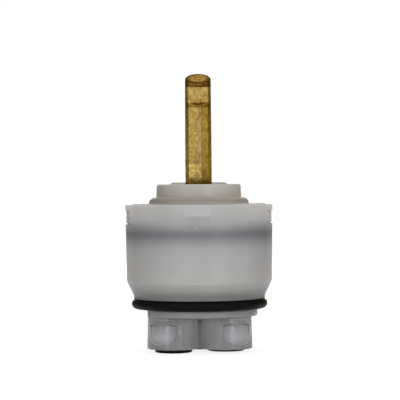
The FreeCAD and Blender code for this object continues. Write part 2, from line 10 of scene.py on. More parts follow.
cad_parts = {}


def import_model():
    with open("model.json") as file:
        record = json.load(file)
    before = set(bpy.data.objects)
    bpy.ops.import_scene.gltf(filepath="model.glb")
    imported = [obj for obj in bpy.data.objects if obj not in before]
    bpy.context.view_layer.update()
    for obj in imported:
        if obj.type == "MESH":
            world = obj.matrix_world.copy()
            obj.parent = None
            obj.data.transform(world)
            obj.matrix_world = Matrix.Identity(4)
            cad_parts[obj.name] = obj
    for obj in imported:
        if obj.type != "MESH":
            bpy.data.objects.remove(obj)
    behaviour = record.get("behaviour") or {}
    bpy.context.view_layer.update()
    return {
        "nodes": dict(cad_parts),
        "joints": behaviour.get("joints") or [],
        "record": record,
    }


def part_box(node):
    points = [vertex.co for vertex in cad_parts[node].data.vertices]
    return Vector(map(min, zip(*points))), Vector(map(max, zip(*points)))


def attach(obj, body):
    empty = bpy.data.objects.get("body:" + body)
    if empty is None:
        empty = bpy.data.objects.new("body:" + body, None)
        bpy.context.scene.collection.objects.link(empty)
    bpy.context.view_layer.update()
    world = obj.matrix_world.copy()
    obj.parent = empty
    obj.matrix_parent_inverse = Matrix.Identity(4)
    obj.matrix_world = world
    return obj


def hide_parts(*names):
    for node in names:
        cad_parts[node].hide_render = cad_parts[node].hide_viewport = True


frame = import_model()
nodes = frame["nodes"]
record = frame["record"]
joints = {joint["name"]: joint for joint in frame["joints"]}

MM = 0.001


def srgb(*levels):
    """Linear colour with alpha from 8-bit levels as a screen shows them."""
    linear = []
    for level in levels:
        share = level / 255
        linear.append(share / 12.92 if share <= 0.04045 else ((share + 0.055) / 1.055) ** 2.4)
    return (*linear, 1.0)


# Camera
CAMERA_DISTANCE = 0.511
EYE_HEIGHT = 0.0449
AIM = Vector((0.00033, 0, 0.0410))
LENS_MM = 169.0
NEAR_LIMIT = 0.01
ROLL = -0.45

# Light
WORLD_TOP = 0.70
WORLD_SIDE = 0.56
WORLD_BOTTOM = 0.10
SIDE_LAMP_AZIMUTHS = (-119.0, -60.0)
SIDE_LAMP_POWERS = (1.16, 1.35)
SIDE_LAMP_SIZE = (0.16, 0.34)
SIDE_LAMP_DISTANCE = 0.62
SIDE_LAMP_HEIGHTS = (0.08, 0.10)
BACK_LAMP_PLACE = (0, 0.62, 0.16)
BACK_LAMP_POWER = 0.7
BACK_LAMP_SIZE = (0.34, 0.16)
TOP_LAMP_PLACE = (0, -0.1, 0.8)
TOP_LAMP_POWER = 0.7
TOP_LAMP_SIZE = (0.5, 0.5)
FLOOR_HALF = 6.0
FLOOR_GLOW = 0.82
FLOOR_DIFFUSE = 0.3
FLOOR_BOUNCE = 0.17
CARD_AZIMUTHS = (144.0, 36.0)
CARD_DISTANCE = 0.2
CARD_SIZE = (0.3, 0.3)
CARD_COLOR = (0.22, 0.16, 0.09, 1.0)

# Noise mostly stays between these two values
NOISE_LOW = 0.3
NOISE_HIGH = 0.7

# Cup
CUP_LOW, CUP_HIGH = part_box("housing_cup")
CUP_Z = CUP_LOW.z
RIM_Z = CUP_HIGH.z
CUP_R = CUP_HIGH.x
KEY_X = -0.4 * MM
KEY_HALF = 3.3 * MM
KEY_LOW_Z = 36.9 * MM
TAPER_Z = 19.25 * MM
# Painted highlight along the top edge of the cup's taper, across the front
TAPER_HIGHLIGHT_X = 0.6 * MM
TAPER_HIGHLIGHT_HALF = (3.6 * MM, 5.2 * MM)
RIM_LIGHT_Z = (34.0 * MM, 36.0 * MM)
# Painted light where the cover's key shows through the wall, and painted shadow below it
KEY_LIGHT_TONE = srgb(194, 193, 195)
KEY_SHADE = srgb(96, 96, 98)
# Tone of the painted highlight on the taper's edge
TAPER_HIGHLIGHT_TONE = srgb(226, 225, 224)
GATE_TONE = srgb(162, 162, 163)
GATE_PLACE = Vector((-0.7, -19.89, 33.6)) * MM
GATE_SIZE = Vector((0.5, 0.1, 0.17)) * MM

# Cover
COVER_LOW, COVER_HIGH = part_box("top_cover")
COVER_TALL = COVER_HIGH.z - COVER_LOW.z
NECK_TALL = COVER_HIGH.z - RIM_Z
# Painted light on the cover's right side
COVER_RIGHT_LIGHT_X = (2 * MM, 12 * MM)
LUG_TONE = srgb(192, 191, 190)
UPWARD_TONE = srgb(186, 182, 175)

# Grain and rounded edges of cup and cover, and the grain of plainer mouldings
SATIN_GRAIN = 0.3 * MM
SATIN_DEPTH = 0.008 * MM
SATIN_EDGE = 0.3 * MM
PLAIN_GRAIN = 0.35 * MM
PLAIN_DEPTH = 0.012 * MM

# Port base: insets are measured inwards from the nearest lobe's wall
LOBE_AXES = [mount["pos_m"][:2] for mount in record["mounts"] if mount["name"].endswith("_port")]
LOBE_Z = 1.0 * MM
FLANGE_Z = 9.6 * MM
LOBE_LOW_R = 7.13 * MM
LOBE_HIGH_R = 6.9 * MM
LOBE_SIDE_X = 5.5 * MM
LIMB_X = (11.4 * MM, 12.8 * MM)
LIMB_Z = (4.0 * MM, 7.4 * MM)
BROW_Z = (FLANGE_Z - 0.9 * MM, FLANGE_Z - 0.4 * MM)
POCKET_LOW_Z = 2.6 * MM
POCKET_TOP_Z = 8.0 * MM
POCKET_SIDE_X = (6.1 * MM, 10.0 * MM)
POCKET_INSET = (0.24 * MM, 0.35 * MM)
STEP_INSET = (0.05 * MM, 0.1 * MM, 0.24 * MM, 0.34 * MM)
LEDGE_INSET = (0.1 * MM, 0.16 * MM)
LEDGE_Z = (POCKET_TOP_Z - 0.3 * MM, POCKET_TOP_Z - 0.1 * MM)
CORE_INSET = (-0.15 * MM, -0.03 * MM)
CORE_HALF = 0.7 * MM
CORE_DARK_Z = 5.2 * MM
FLANK_TONE = srgb(135, 135, 138)
# Painted light on the lobes' outer sides and under the flange
LIMB_LIGHT_TONE = srgb(172, 172, 175)
# Painted light in the pockets
POCKET_LIGHT_TONE = srgb(182, 182, 186)
# Painted light along the pockets' steps and just under their top ledges
STEP_LIGHT_TONE = srgb(186, 186, 188)
LEDGE_LIGHT_TONE = srgb(240, 240, 240)
FLANGE_TONE = srgb(158, 156, 155)

# Lever: heights are those at rest, painted reflection tints are by facet from the front one, and painted
# shade bands are by height in mm
PIVOT_Z = joints["flow_tilt"]["pos_m"][2]
LEVER_LEAN = joints["flow_tilt"]["range_deg"][1]
LEVER_LEN = 36.35 * MM
TIP_EDGE = (LEVER_LEN - 0.32 * MM, LEVER_LEN - 0.2 * MM)
TIP_DISH_R = 2.5 * MM
TURNING_PITCH = 1.25 * MM
NOTCH_Z = (67.0 * MM, 71.0 * MM)
# Painted highlight band across the two middle facets, by height
HIGHLIGHT_Z = (47.0 * MM, 50.9 * MM)
FOOT_Z = 46.75 * MM
FACETS = 12
# Painted reflections: each facet's tint stands in for what that facet reflects
FACET_REFLECTION_TINTS = (
    (-3, (0.6, 0.54, 0.4)), (-2, (0.62, 0.56, 0.36)), (-1, (0.79, 0.75, 0.60)), (0, (0.75, 0.69, 0.67)),
    (1, (0.55, 0.49, 0.25)), (2, (0.6, 0.54, 0.3)), (3, (0.6, 0.54, 0.4)),
)
# Painted shade in bands by height, darkest at the notch's lower ledge and above the notch
SHADE_BANDS = (
    (30.0, 0.86), (46.4, 0.86), (46.7, 0.88), (47.4, 0.85), (48.2, 0.71), (51.1, 0.68), (65.4, 0.62),
    (65.7, 0.29), (66.7, 0.34), (67.0, 0.65), (70.8, 0.65), (71.0, 0.2), (72.0, 0.26), (75.0, 0.4),
)
NOTCH_SHARE = 0.8
BACK_SHARE = 0.66
WARMTH = (1.0, 1.25, 1.85)
BRASS_GAIN = (1.95, 2.3, 3.75, 1.0)
# Tint of the painted highlight band
HIGHLIGHT_TINT = (1.22, 1.18, 1.04, 1.0)
# Painted reflection: browner tint low on the stem, at its foot
FOOT_REFLECTION_TINT = (1.06, 0.93, 0.52, 1.0)
TIP_RIM_TONE = srgb(84, 58, 16)
SPECK_TONE = srgb(112, 76, 34)
# Painted shade along the edge between the front facet and the next
EDGE_SHADE_TONE = srgb(96, 68, 28)

# Cast skin of the lever: mesh and smoothing, how far it stands out, size and depth of lumps and pits
CAST_VOXEL = 0.13 * MM
CAST_SOFTNESS = 0.5
CAST_PASSES = 3
CAST_SWELL = 0.045 * MM
LUMP_SIZE = 1.6 * MM
LUMP_DEPTH = 0.022 * MM
PIT_SIZE = 0.45 * MM
PIT_DEPTH = 0.012 * MM
PIT_SHIFT = Vector((7, 3, 1))


def warm(share):
    """Tint that keeps this share of the brass's tone: the smaller the share, the browner."""
    return tuple(share ** power for power in WARMTH) + (1.0,)


class Paint:
    """One material, with short ways to add nodes to it."""

    def __init__(self, name, roughness, **shader):
        self.material = bpy.data.materials.new(name)
        self.material.use_nodes = True
        self.tree = self.material.node_tree
        self.shader = self.tree.nodes["Principled BSDF"]
        self.shader.inputs["Roughness"].default_value = roughness
        for socket, value in shader.items():
            self.shader.inputs[socket.replace("_", " ")].default_value = value
        self.place = self.node("TexCoord").outputs["Object"]

    def put(self, target, value):
        """Links a socket's value to the target, or sets it there if it is a plain one."""
        if isinstance(value, bpy.types.NodeSocket):
            self.tree.links.new(value, target)
        else:
            target.default_value = value

    def node(self, kind, values=(), **settings):
        """New shader node with its settings, and the values of its first inputs."""
        node = self.tree.nodes.new("ShaderNode" + kind)
        for name, setting in settings.items():
            setattr(node, name, setting)
        for target, value in zip(node.inputs, values):
            self.put(target, value)
        return node

    def maths(self, operation, *values):
        return self.node("Math", values, operation=operation).outputs[0]

    def axes(self, place=None):
        return self.node("SeparateXYZ", (place or self.place,)).outputs

    def product(self, first, *others):
        for other in others:
            first = self.maths("MULTIPLY", first, other)
        return first

    def apart(self, value, middle):
        """How far a value is from a middle, to either side."""
        return self.maths("ABSOLUTE", self.maths("SUBTRACT", value, middle))

    def span(self, value, low, high, to_low=0.0, to_high=1.0, smooth=False):
        """Maps low..high of a value to another range, held at its ends."""
        kind = "SMOOTHSTEP" if smooth else "LINEAR"
        values = (value, low, high, to_low, to_high)
        return self.node("MapRange", values, interpolation_type=kind).outputs[0]

    def fade(self, value, full, none, most=1.0):
        """The most up to one value, and nothing from another on."""
        return self.span(value, full, none, most, 0.0)

    def band(self, value, low, low_full, high_full, high):
        """One between low_full and high_full, and nothing below low or above high."""
        return self.product(self.span(value, low, low_full), self.fade(value, high_full, high))

    def vary(self, value, low, high):
        """Maps noise to low..high."""
        return self.span(value, NOISE_LOW, NOISE_HIGH, low, high)

    def ramp(self, value, *stops):
        """Colour ramp from (position, colour or level) stops."""
        node = self.node("ValToRGB", (value,))
        elements = node.color_ramp.elements
        while len(elements) < len(stops):
            elements.new(0.5)
        for element, (position, level) in zip(elements, stops):
            element.position = position
            element.color = level if isinstance(level, tuple) else (level, level, level, 1)
        return node.outputs[0]

    def along(self, value, *stops):
        """Colour ramp whose stops are placed in the value's own unit, held beyond its first and last."""
        first, last = stops[0][0], stops[-1][0]
        shares = (((position - first) / (last - first), level) for position, level in stops)
        return self.ramp(self.span(value, first, last), *shares)

    def noise(self, size, detail=3.0, roughness=0.55, place=None, stretch=None):
        """Noise whose features are about that many metres across."""
        place = place or self.place
        if stretch:
            mapping = self.node("Mapping", (place,))
            mapping.inputs["Scale"].default_value = stretch
            place = mapping.outputs[0]
        node = self.node("TexNoise", (place,))
        node.inputs["Scale"].default_value = 1 / size
        node.inputs["Detail"].default_value = detail
        node.inputs["Roughness"].default_value = roughness
        return node.outputs["Fac"]

    def mix(self, share, first, second, blend="MIX"):
        """Mix of two colours, which are the mix node's inputs 6 and 7 and its output 2."""
        node = self.node("Mix", (share,), data_type="RGBA", blend_type=blend)
        self.put(node.inputs[6], first)
        self.put(node.inputs[7], second)
        return node.outputs[2]

    def tinted(self, color, tint, share=1.0):
        return self.mix(share, color, tint, "MULTIPLY")

    def bump(self, height, depth, strength=1.0, normal=None):
        node = self.node("Bump")
        node.inputs["Distance"].default_value = depth
        node.inputs["Strength"].default_value = strength
        self.put(node.inputs["Height"], height)
        if normal is not None:
            self.put(node.inputs["Normal"], normal)
        return node.outputs[0]

    def soft_edges(self, radius):
        """Normal that rounds the look of sharp edges, as on a moulding."""
        return self.node("Bevel", (radius,), samples=6).outputs[0]

    def finish(self, color, roughness, normal=None):
        for socket, value in (("Base Color", color), ("Roughness", roughness), ("Normal", normal)):
            if value is not None:
                self.put(self.shader.inputs[socket], value)
        return self.material


def moulded(name, color, spread, roughness):
    """Plain moulded plastic: faint clouds in its tone, fine grain and a little change of gloss."""
    paint = Paint(name, roughness)
    low = tuple(c * (1 - spread) for c in color[:3]) + (1.0,)
    high = tuple(c * (1 + spread) for c in color[:3]) + (1.0,)
    tone = paint.mix(paint.vary(paint.noise(4 * MM), 0.0, 1.0), low, high)
    gloss = paint.vary(paint.noise(1.5 * MM), roughness - 0.05, roughness + 0.07)
    return paint.finish(tone, gloss, paint.bump(paint.noise(PLAIN_GRAIN, detail=2.0), PLAIN_DEPTH))


def satin_skin(paint):
    """Fine grain over the rounded edges of a satin moulding."""
    grain = paint.noise(SATIN_GRAIN, detail=2.0)
    return paint.bump(grain, SATIN_DEPTH, normal=paint.soft_edges(SATIN_EDGE))


def cup_wall_shading(paint, z):
    """Tone of the cup's wall by height in mm, with painted light and shade: painted shade darkening its taper
    towards the foot, a painted highlight at the taper's top edge, and a soft painted shade band where a gap
    lies behind the wall.
    """
    stops = (
        (14.5, srgb(100, 99, 97)),
        (15.5, srgb(133, 132, 130)),
        (17.6, srgb(184, 183, 181)),
        (18.9, srgb(193, 192, 190)),
        (19.3, srgb(184, 183, 181)),
        (20.2, srgb(181, 180, 178)),
        (26.2, srgb(178, 177, 177)),
        (28.3, srgb(170, 169, 170)),
        (29.3, srgb(156, 156, 158)),
        (30.4, srgb(140, 140, 143)),
        (31.4, srgb(120, 120, 124)),
        (31.9, srgb(115, 115, 119)),
        (32.5, srgb(117, 117, 121)),
        (33.5, srgb(142, 142, 145)),
        (34.6, srgb(160, 160, 161)),
        (36.2, srgb(174, 173, 172)),
    )
    # Painted shade: darkest at the foot of the taper, where it faces down
    foot = (CUP_Z, srgb(76, 75, 73))
    rim = (RIM_Z, srgb(187, 186, 184))
    return paint.along(z, foot, *((height * MM, tone) for height, tone in stops), rim)


def key_light_and_shadow(paint, wall, x, z, front):
    """Painted light where the cover's key shows through the front of the cup's wall, with a faint painted
    shadow below it.
    """
    beside = paint.fade(paint.apart(x, KEY_X), KEY_HALF - 0.1 * MM, KEY_HALF + 0.2 * MM)
    below = paint.span(z, KEY_LOW_Z - 2.2 * MM, KEY_LOW_Z - 1.2 * MM, to_high=0.1)
    above = paint.span(z, KEY_LOW_Z - 0.2 * MM, KEY_LOW_Z + 0.1 * MM, to_high=0.8)
    wall = paint.mix(paint.product(beside, below, front), wall, KEY_SHADE)
    return paint.mix(paint.product(beside, above, front), wall, KEY_LIGHT_TONE)


def taper_edge_highlight(paint, wall, x, z, front):
    """Painted highlight: a fine pale line across the middle of the front, along the edge where the cup's
    taper begins.
    """
    line = paint.fade(paint.apart(z, TAPER_Z), 0.08 * MM, 0.16 * MM, most=0.35)
    middle = paint.fade(paint.apart(x, TAPER_HIGHLIGHT_X), *TAPER_HIGHLIGHT_HALF)
    return paint.mix(paint.product(line, middle, front), wall, TAPER_HIGHLIGHT_TONE)


def cup_plastic():
    """Off-white cup with a soft painted shade band where the gap inside lies behind its wall, and painted
    light towards its sides.
    """
    paint = Paint("cup_plastic", 0.5)
    x, y, z = paint.axes()
    off_middle = paint.maths("ABSOLUTE", x)
    front = paint.maths("LESS_THAN", y, 0.0)
    tone = cup_wall_shading(paint, z)
    # Painted light: near the rim the wall gets lighter towards the sides
    side_light = paint.span(off_middle, 0.35 * CUP_R, CUP_R, 1.0, 1.45, smooth=True)
    tone = paint.tinted(tone, side_light, paint.span(z, *RIM_LIGHT_Z))
    # Painted light: lighter still at the outermost sides, all the way down
    tone = paint.tinted(tone, paint.span(off_middle, 0.87 * CUP_R, CUP_R, 1.0, 1.3))
    tone = key_light_and_shadow(paint, tone, x, z, front)
    tone = taper_edge_highlight(paint, tone, x, z, front)
    clouds = paint.vary(paint.noise(6 * MM, roughness=0.6), 0.965, 1.03)
    flow = paint.vary(paint.noise(1.6 * MM, roughness=0.6, stretch=(1, 1, 0.12)), 0.99, 1.01)
    tone = paint.tinted(tone, paint.product(clouds, flow))
    gloss = paint.vary(paint.noise(2 * MM), 0.44, 0.56)
    return paint.finish(tone, gloss, satin_skin(paint))


def cover_shade_by_height(paint, z):
    """Tone of the cover by height: its lugs behind the cup's windows, then painted shade on the shoulder and
    low on the neck above the cup's rim, lightening up the neck.
    """
    return paint.along(
        z,
        (COVER_LOW.z, LUG_TONE),
        (RIM_Z - 0.29 * COVER_TALL, LUG_TONE),
        (RIM_Z - 0.1 * COVER_TALL, srgb(208, 206, 203)),
        (RIM_Z, srgb(148, 142, 134)),
        (RIM_Z + 0.15 * NECK_TALL, srgb(136, 130, 123)),
        (RIM_Z + 0.18 * NECK_TALL, srgb(126, 120, 113)),
        (RIM_Z + 0.22 * NECK_TALL, srgb(138, 132, 125)),
        (RIM_Z + 0.34 * NECK_TALL, srgb(150, 144, 136)),
        (RIM_Z + 0.46 * NECK_TALL, srgb(160, 154, 146)),
        (RIM_Z + 0.62 * NECK_TALL, srgb(167, 162, 155)),
        (COVER_HIGH.z, srgb(183, 180, 173)),
    )


def cover_plastic():
    """Warmer off-white cover with painted shade low on its neck and shoulder, painted light towards its
    right, and of one tone on faces that look up.
    """
    paint = Paint("cover_plastic", 0.5)
    place = paint.axes()
    upward = paint.axes(paint.node("NewGeometry").outputs["Normal"])["Z"]
    tone = paint.mix(paint.span(upward, 0.93, 0.99), cover_shade_by_height(paint, place["Z"]), UPWARD_TONE)
    clouds = paint.vary(paint.noise(3 * MM), 0.96, 1.02)
    # Painted light: lighter towards the right
    right_light = paint.span(place["X"], *COVER_RIGHT_LIGHT_X, 1.0, 1.18)
    tone = paint.tinted(tone, paint.product(clouds, right_light))
    gloss = paint.vary(paint.noise(2 * MM), 0.42, 0.55)
    return paint.finish(tone, gloss, satin_skin(paint))


def lobe_inset(paint, z):
    """How far a point lies inside the nearest lobe's wall, which leans in towards the flange."""
    flat = paint.node("VectorMath", (paint.place, (1, 1, 0)), operation="MULTIPLY").outputs[0]
    nearest = None
    for x, y in LOBE_AXES:
        away = paint.node("VectorMath", (flat, (x, y, 0)), operation="DISTANCE").outputs["Value"]
        nearest = away if nearest is None else paint.maths("MINIMUM", nearest, away)
    return paint.maths("SUBTRACT", paint.span(z, LOBE_Z, FLANGE_Z, LOBE_LOW_R, LOBE_HIGH_R), nearest)


def lobe_flank_light(paint, z, off_middle):
    """Tone of the lobes' walls, with painted light lifting their shade: paler towards the middle, at the
    outer sides and under the flange.
    """
    middle_light = paint.ramp(
        paint.span(z, 0.0, FLANGE_Z),
        (0.3, srgb(154, 154, 156)),
        (0.5, srgb(163, 163, 165)),
        (0.73, srgb(176, 176, 177)),
        (0.94, srgb(223, 223, 223)),
    )
    limb_light = paint.product(paint.span(off_middle, *LIMB_X), paint.span(z, *LIMB_Z, 0.15, 0.6))
    brow_light = paint.span(z, *BROW_Z, to_high=0.85)
    outer = paint.mix(paint.maths("MAXIMUM", limb_light, brow_light), FLANK_TONE, LIMB_LIGHT_TONE)
    return paint.mix(paint.span(off_middle, CORE_HALF, LOBE_SIDE_X), middle_light, outer)


def pocket_glow(paint, y, z, off_middle, inset):
    """Share of the painted light in the pockets, where the wall is thin: on the front, most at the sides."""
    by_height = paint.ramp(
        paint.span(z, POCKET_LOW_Z, POCKET_TOP_Z),
        (0.0, 0.2), (0.13, 0.6), (0.35, 1.0), (0.63, 0.7), (0.92, 0.2), (1.0, 0.9),
    )
    side_light = paint.span(off_middle, *POCKET_SIDE_X, to_low=0.3)
    behind = paint.span(y, 0.0, 1.0 * MM)
    return paint.product(paint.span(inset, *POCKET_INSET), paint.maths("MAXIMUM", side_light, behind), by_height)


def base_tone(paint):
    """Tone of the port base: lobes with painted light, pockets with painted light along their steps and under
    their ledges, painted shade in the core between the lobes, and the flange.
    """
    x, y, z = paint.axes()
    off_middle = paint.maths("ABSOLUTE", x)
    inset = lobe_inset(paint, z)
    tone = lobe_flank_light(paint, z, off_middle)
    tone = paint.mix(pocket_glow(paint, y, z, off_middle, inset), tone, POCKET_LIGHT_TONE)
    # Painted light along the pockets' steps
    tone = paint.mix(paint.band(inset, *STEP_INSET), tone, STEP_LIGHT_TONE)
    # Painted shade in the core between the lobes, darker low down and in the very middle
    core = paint.mix(paint.span(z, CORE_DARK_Z, FLANGE_Z), srgb(87, 87, 89), srgb(106, 106, 108))
    core = paint.mix(paint.span(off_middle, 0.0, CORE_HALF), core, srgb(116, 116, 118))
    tone = paint.mix(paint.fade(inset, *CORE_INSET), tone, core)
    # Painted light just under the pockets' top ledges
    ledge_light = paint.product(paint.span(z, *LEDGE_Z), paint.span(inset, *LEDGE_INSET))
    tone = paint.mix(ledge_light, tone, LEDGE_LIGHT_TONE)
    return paint.mix(paint.span(z, FLANGE_Z - 0.1 * MM, FLANGE_Z), tone, FLANGE_TONE)


def base_plastic():
    """Cool grey-white base, glossier than the cup, with a rippled skin under a patchy gloss."""
    through = {"Subsurface_Weight": 0.8, "Subsurface_Scale": 1.8 * MM, "Subsurface_Radius": (1.0, 0.95, 0.95)}
    paint = Paint("base_plastic", 0.34, Coat_Roughness=0.07, **through)
    clouds = paint.vary(paint.noise(3 * MM), 0.94, 1.04)
    tone = paint.tinted(base_tone(paint), clouds)
    gloss = paint.span(paint.noise(1.2 * MM), 0.35, 0.65, 0.42, 0.58)
    soft = paint.soft_edges(0.4 * MM)
    swell = paint.noise(0.6 * MM, detail=2.0, roughness=0.6, stretch=(1.0, 1.0, 1.6))
    patches = paint.span(paint.noise(0.5 * MM), 0.47, 0.53, to_high=0.6)
    paint.put(paint.shader.inputs["Coat Normal"], paint.bump(swell, 0.05 * MM, 0.7, soft))
    paint.put(paint.shader.inputs["Coat Weight"], patches)
    ripple = paint.bump(paint.noise(1.1 * MM, detail=2.0, roughness=0.5), 0.06 * MM, 0.5, soft)
    grain = paint.noise(0.28 * MM, detail=1.0)
    return paint.finish(tone, gloss, paint.bump(grain, 0.02 * MM, 0.6, ripple))


def rubber():
    """Black moulded rubber with a dull skin and a little dust."""
    paint = Paint("rubber", 0.55, Specular_IOR_Level=0.06)
    dust = paint.span(paint.noise(0.5 * MM, detail=4.0, roughness=0.7), 0.6, 0.85, to_high=0.2)
    tone = paint.mix(dust, srgb(9, 9, 10), srgb(34, 34, 36))
    gloss = paint.vary(paint.noise(1.0 * MM), 0.42, 0.6)
    return paint.finish(tone, gloss, paint.bump(paint.noise(0.15 * MM, detail=2.0), 0.006 * MM))


def ceramic():
    """Lapped ceramic, smooth and faintly specked."""
    paint = Paint("ceramic", 0.22)
    speck = paint.span(paint.noise(0.25 * MM, detail=2.0), 0.68, 0.75, to_high=0.35)
    tone = paint.mix(speck, srgb(232, 230, 224), srgb(196, 192, 182))
    return paint.finish(tone, paint.vary(paint.noise(0.8 * MM), 0.16, 0.28))


def steel():
    """Drawn steel, with fine lines along the pin."""
    paint = Paint("steel", 0.3, Metallic=1.0)
    drawn = paint.noise(0.2 * MM, roughness=0.6, stretch=(0.05, 1, 1))
    tone = paint.mix(drawn, srgb(176, 176, 178), srgb(206, 206, 207))
    return paint.finish(tone, paint.vary(drawn, 0.22, 0.38), paint.bump(drawn, 0.004 * MM))


def upright_stem(paint):
    """Place on the stem as if the leaning lever stood upright on its pivot."""
    node = paint.node("Mapping", (paint.place,), vector_type="TEXTURE")
    node.inputs["Location"].default_value = (0, 0, PIVOT_Z)
    node.inputs["Rotation"].default_value = (math.radians(LEVER_LEAN), 0, 0)
    return node.outputs[0]


def mottle(paint, stem):
    """Blotches of cast brass."""
    return paint.ramp(
        paint.noise(0.9 * MM, detail=6.0, roughness=0.72, place=stem, stretch=(1, 1, 0.7)),
        (0.30, srgb(122, 90, 32)),
        (0.43, srgb(166, 138, 66)),
        (0.53, srgb(184, 159, 86)),
        (0.63, srgb(204, 182, 112)),
        (0.76, srgb(146, 112, 46)),
    )


def facet_reflection_tint(paint, facet, height):
    """Painted reflection tint of each facet, evened out in the notch, with a painted highlight band across
    the two middle ones.
    """
    # Painted reflection: each facet's tint
    own = paint.along(paint.maths("ROUND", facet), *((place, (*tint, 1.0)) for place, tint in FACET_REFLECTION_TINTS))
    across = paint.fade(paint.maths("ABSOLUTE", facet), 1.5, 1.65, most=0.9)
    in_notch = paint.band(height, NOTCH_Z[0], NOTCH_Z[0] + 0.1 * MM, NOTCH_Z[1] - 0.1 * MM, NOTCH_Z[1])
    own = paint.mix(paint.product(in_notch, across), own, warm(NOTCH_SHARE))
    # Painted highlight band on the two middle facets
    on_middle = paint.fade(paint.apart(facet, -0.5), 0.97, 1.03)
    highlight_band = paint.band(height, HIGHLIGHT_Z[0], HIGHLIGHT_Z[0] + 0.2 * MM, HIGHLIGHT_Z[1] - 0.5 * MM, HIGHLIGHT_Z[1])
    return paint.mix(paint.product(highlight_band, on_middle), own, HIGHLIGHT_TINT)


def shade_bands(paint, facet, height):
    """Painted shade in bands by height on the notch's side of the stem, darkest at the notch's ledges, and
    even on its back.
    """
    bands = paint.along(height, *((z * MM, warm(share)) for z, share in SHADE_BANDS))
    notch_side = paint.fade(paint.maths("ABSOLUTE", facet), 2.3, 3.0)
    return paint.mix(notch_side, warm(BACK_SHARE), bands)


def tip_face(paint, x, y, stem):
    """Tone of the stem's end: a dark rim round a dish with turning marks."""
    squares = paint.maths("MULTIPLY_ADD", x, x, paint.maths("MULTIPLY", y, y))
    from_centre = paint.maths("SQRT", squares)
    rings = paint.maths("SINE", paint.maths("MULTIPLY", from_centre, math.tau / TURNING_PITCH))
    turned = paint.maths("MULTIPLY_ADD", rings, 0.06, paint.noise(0.5 * MM, roughness=0.7, place=stem))
    dish = paint.mix(paint.span(turned, 0.38, 0.6), srgb(104, 76, 28), srgb(186, 154, 80))
    in_dish = paint.fade(from_centre, TIP_DISH_R - 0.15 * MM, TIP_DISH_R + 0.1 * MM)
    return paint.mix(in_dish, TIP_RIM_TONE, dish)


def brass():
    """Cast brass, mottled and specked, with painted reflections: each facet in a tint of its own, painted
    shade bands where the stem changes shape, a painted highlight band and painted shade along a facet edge.
    """
    paint = Paint("brass", 0.4, Metallic=1.0, Specular_Tint=srgb(235, 222, 196))
    height = paint.axes()["Z"]
    stem = upright_stem(paint)
    x, y, up = paint.axes(stem)
    turn = paint.maths("ARCTAN2", x, paint.maths("MULTIPLY", y, -1.0))
    facet = paint.maths("MULTIPLY", turn, FACETS / math.tau)
    tone = paint.tinted(mottle(paint, stem), facet_reflection_tint(paint, facet, height))
    tone = paint.tinted(tone, shade_bands(paint, facet, height))
    tone = paint.tinted(tone, BRASS_GAIN)
    # Painted reflection: browner at the foot
    tone = paint.tinted(tone, FOOT_REFLECTION_TINT, paint.fade(height, FOOT_Z - 0.8 * MM, FOOT_Z))
    tone = paint.mix(paint.span(up, *TIP_EDGE), tone, tip_face(paint, x, y, stem))
    speck = paint.noise(0.22 * MM, roughness=0.75, place=stem)
    tone = paint.mix(paint.span(speck, 0.54, 0.62, to_high=0.65), tone, SPECK_TONE)
    # Painted shade along the edge between the front facet and the next
    edge = paint.fade(paint.apart(facet, 0.5), 0.02, 0.08, most=0.6)
    tone = paint.mix(edge, tone, EDGE_SHADE_TONE)
    gloss = paint.vary(paint.noise(0.7 * MM, roughness=0.6, place=stem), 0.3, 0.55)
    pits = paint.bump(paint.noise(0.3 * MM, detail=4.0, roughness=0.65, place=stem), 0.04 * MM, 0.7)
    return paint.finish(tone, gloss, pits)


def dress(mesh, material):
    mesh.materials.clear()
    mesh.materials.append(material)


def shade_smooth(mesh):
    for polygon in mesh.polygons:
        polygon.use_smooth = True


def link(name, data):
    piece = bpy.data.objects.new(name, data)
    bpy.context.scene.collection.objects.link(piece)
    return piece


def dress_frame():
    """Gives every CAD node the material of its slot."""
    made = {
        "cup_plastic": cup_plastic(),
        "cover_plastic": cover_plastic(),
        "base_plastic": base_plastic(),
        "turret_plastic": moulded("turret_plastic", srgb(158, 156, 152), 0.03, 0.45),
        "coupler_plastic": moulded("coupler_plastic", srgb(206, 205, 201), 0.02, 0.42),
        "glide_plastic": moulded("glide_plastic", srgb(228, 228, 225), 0.015, 0.3),
        "rubber": rubber(),
        "ceramic": ceramic(),
        "brass": brass(),
        "steel": steel(),
    }
    for part in record["subparts"]:
        dress(nodes[part["node"]].data, made[part["material_slot"]])
    return made


def baked(piece):
    """The mesh of a piece with its modifiers applied."""
    bpy.context.view_layer.update()
    evaluated = piece.evaluated_get(bpy.context.evaluated_depsgraph_get())
    mesh = bpy.data.meshes.new_from_object(evaluated)
    piece.modifiers.clear()
    piece.data = mesh
    return mesh


def cast_lever(material):
    """The lever with the soft edges and uneven skin of a casting, in place of its plain solid."""
    cast = link("lever_casting", nodes["lever"].data.copy())
    remesh = cast.modifiers.new("even", "REMESH")
    remesh.mode = "VOXEL"
    remesh.voxel_size = CAST_VOXEL
    soften = cast.modifiers.new("soften", "SMOOTH")
    soften.factor = CAST_SOFTNESS
    soften.iterations = CAST_PASSES
    mesh = baked(cast)
    moves = []
    for vertex in mesh.vertices:
        lumps = LUMP_DEPTH * noise.noise(vertex.co / LUMP_SIZE)
        pits = PIT_DEPTH * noise.noise(vertex.co / PIT_SIZE + PIT_SHIFT)
        moves.append(vertex.normal * (lumps + pits + CAST_SWELL))
    for vertex, move in zip(mesh.vertices, moves):
        vertex.co += move
    dress(mesh, material)
    shade_smooth(mesh)
    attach(cast, "lever")
    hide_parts("lever")


